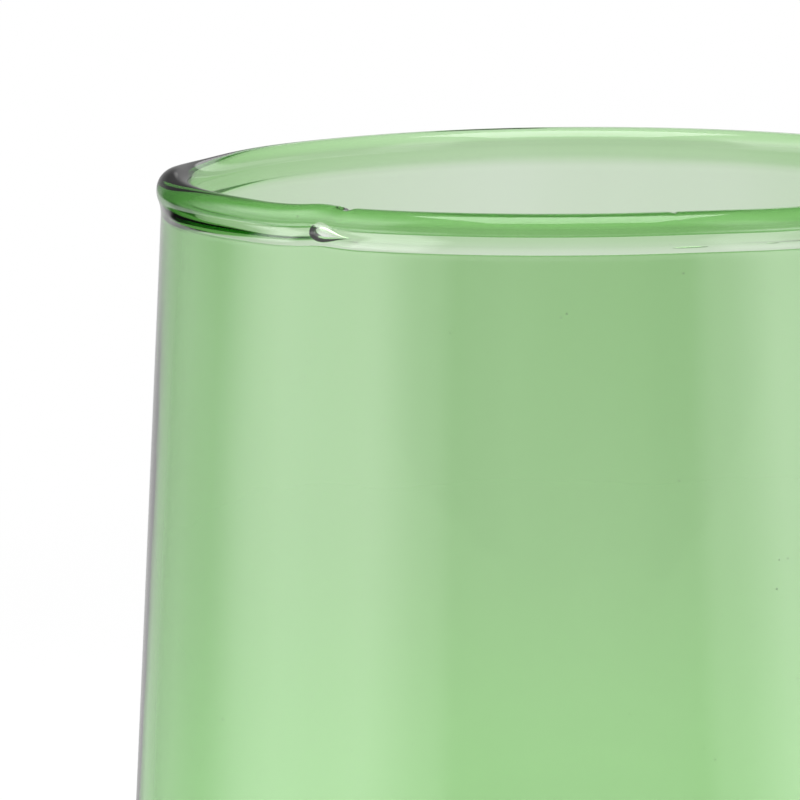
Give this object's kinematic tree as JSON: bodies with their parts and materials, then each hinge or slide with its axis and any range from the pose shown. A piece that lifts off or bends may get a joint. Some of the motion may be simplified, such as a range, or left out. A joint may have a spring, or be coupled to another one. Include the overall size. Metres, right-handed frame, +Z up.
{
  "type": "glass tumbler",
  "caption": "Green glass tumbler with a thin straight wall leaning out towards the foot, a round fire-polished rim bead and a rounded base.",
  "frame": {"origin": "centre of the resting plane under the base", "axes": "+Z up along the tumbler's axis; -Y faces the viewer of the picture and +X is to that viewer's right"},
  "size_m": [0.0846, 0.0846, 0.092],
  "materials": {
    "green_glass": "clear, glossy, tinted through its whole thickness, with fine seeds and a small trapped bubble in the rim"
  },
  "bodies": {
    "root": {"rim_bead": "green_glass", "side_wall": "green_glass", "base": "green_glass"}
  },
  "joints": []
}
